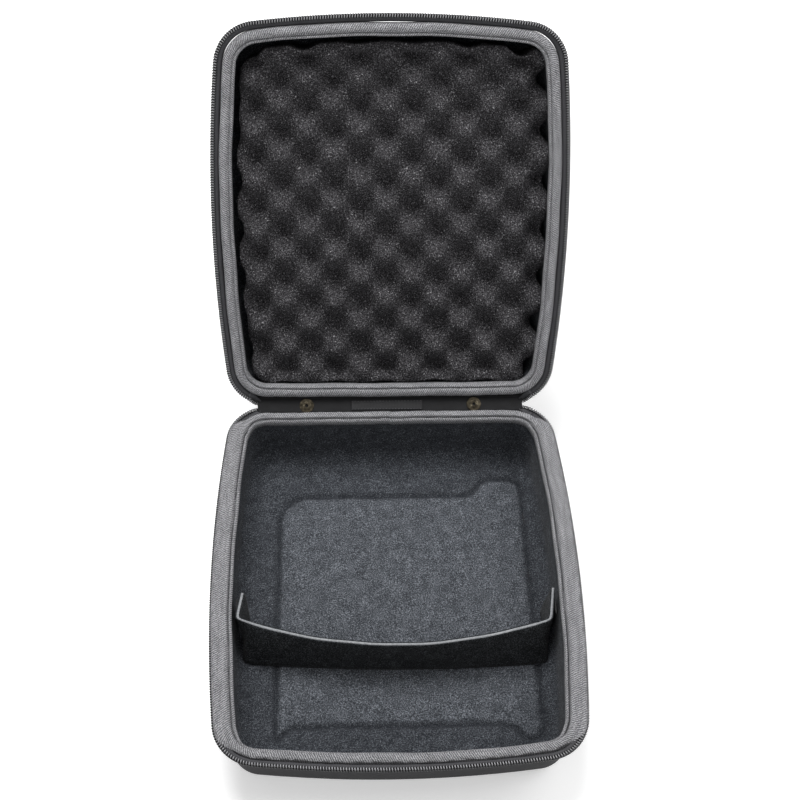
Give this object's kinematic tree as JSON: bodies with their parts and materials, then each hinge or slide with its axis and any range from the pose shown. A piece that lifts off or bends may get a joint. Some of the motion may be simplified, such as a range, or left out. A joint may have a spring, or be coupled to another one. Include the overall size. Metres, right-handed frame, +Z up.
{
  "type": "headphone carrying case",
  "caption": "Hard-shell headphone carrying case standing open, with zipped rims, egg-crate foam in the lid, fleece lining and a lift-out divider.",
  "frame": {"origin": "centre of the base's flat underside, on the surface the case stands on", "axes": "+X to the right, +Y from the front towards the hinge, +Z up; drawn with the lid open"},
  "size_m": [0.2834, 0.509, 0.3313],
  "materials": {
    "eva_shell_fabric": "matte",
    "fleece_lining": "matte",
    "rim_binding": "matte",
    "zip_tape": "matte",
    "zip_coil": "satin",
    "hinge_fabric": "matte",
    "stiffener_board": "matte",
    "divider_foam_board": "matte",
    "woven_label": "satin",
    "egg_crate_foam": "matte",
    "hook_tape": "matte",
    "antique_brass": "satin",
    "handle_webbing": "matte",
    "black_enamel": "satin",
    "handle_rubber": "matte",
    "pull_rubber": "matte"
  },
  "bodies": {
    "base": {"base_shell": "eva_shell_fabric", "base_lining": "fleece_lining", "base_rim_binding": "rim_binding", "base_zip_tape": "zip_tape", "base_zip_coil": "zip_coil", "base_hinge_leaf": "hinge_fabric"},
    "spine": {"spine_inner_fabric": "hinge_fabric", "spine_stiffener": "stiffener_board", "spine_outer_fabric": "hinge_fabric", "spine_label": "woven_label", "rivet_washers": "antique_brass", "rivets": "antique_brass", "rivet_caps": "antique_brass", "handle_strap": "handle_webbing", "handle_plates": "black_enamel", "handle_grip": "handle_rubber", "zip_end_left": "zip_tape", "zip_end_right": "zip_tape"},
    "lid": {"lid_shell": "eva_shell_fabric", "lid_lining": "fleece_lining", "lid_rim_binding": "rim_binding", "lid_zip_tape": "zip_tape", "lid_zip_coil": "zip_coil", "lid_hinge_leaf": "hinge_fabric", "lid_foam": "egg_crate_foam"},
    "divider": {"divider_board": "divider_foam_board", "divider_front_skin": "fleece_lining", "divider_rear_skin": "fleece_lining", "divider_hook_patches": "hook_tape"},
    "slider_left": {"slider_body_left": "black_enamel", "slider_bail_left": "black_enamel"},
    "slider_right": {"slider_body_right": "black_enamel", "slider_bail_right": "black_enamel"},
    "pull_left": {"pull_tab_left": "black_enamel", "pull_grip_left": "pull_rubber"},
    "pull_right": {"pull_tab_right": "black_enamel", "pull_grip_right": "pull_rubber"}
  },
  "joints": [
    {"name": "spine_fold", "type": "hinge", "parent": "base", "child": "spine", "pos_m": [0, 0.1532, 0.0535], "axis": [1, 0, 0], "range_deg": [0, 60.5]},
    {"name": "lid_fold", "type": "hinge", "parent": "spine", "child": "lid", "pos_m": [0, 0.16451, 0.0599], "axis": [1, 0, 0], "range_deg": [0, 60.5]},
    {"name": "divider_lift", "type": "slide", "parent": "base", "child": "divider", "axis": [0, 0, 1], "range_m": [0, 0.018]},
    {"name": "slider_left_travel", "type": "slide", "parent": "spine", "child": "slider_left", "axis": [-1, 0, 0], "range_m": [0, 0.005]},
    {"name": "slider_right_travel", "type": "slide", "parent": "spine", "child": "slider_right", "axis": [1, 0, 0], "range_m": [0, 0.005]},
    {"name": "pull_left_swing", "type": "hinge", "parent": "slider_left", "child": "pull_left", "pos_m": [-0.103, 0.16275, 0.04983], "axis": [0, 0.8704, 0.4924], "range_deg": [-85, 65]},
    {"name": "pull_right_swing", "type": "hinge", "parent": "slider_right", "child": "pull_right", "pos_m": [0.103, 0.16275, 0.04983], "axis": [0, 0.8704, 0.4924], "range_deg": [-65, 85]}
  ],
  "couplings": [
    {"joint": "lid_fold", "follows": "spine_fold", "ratio": 1}
  ]
}
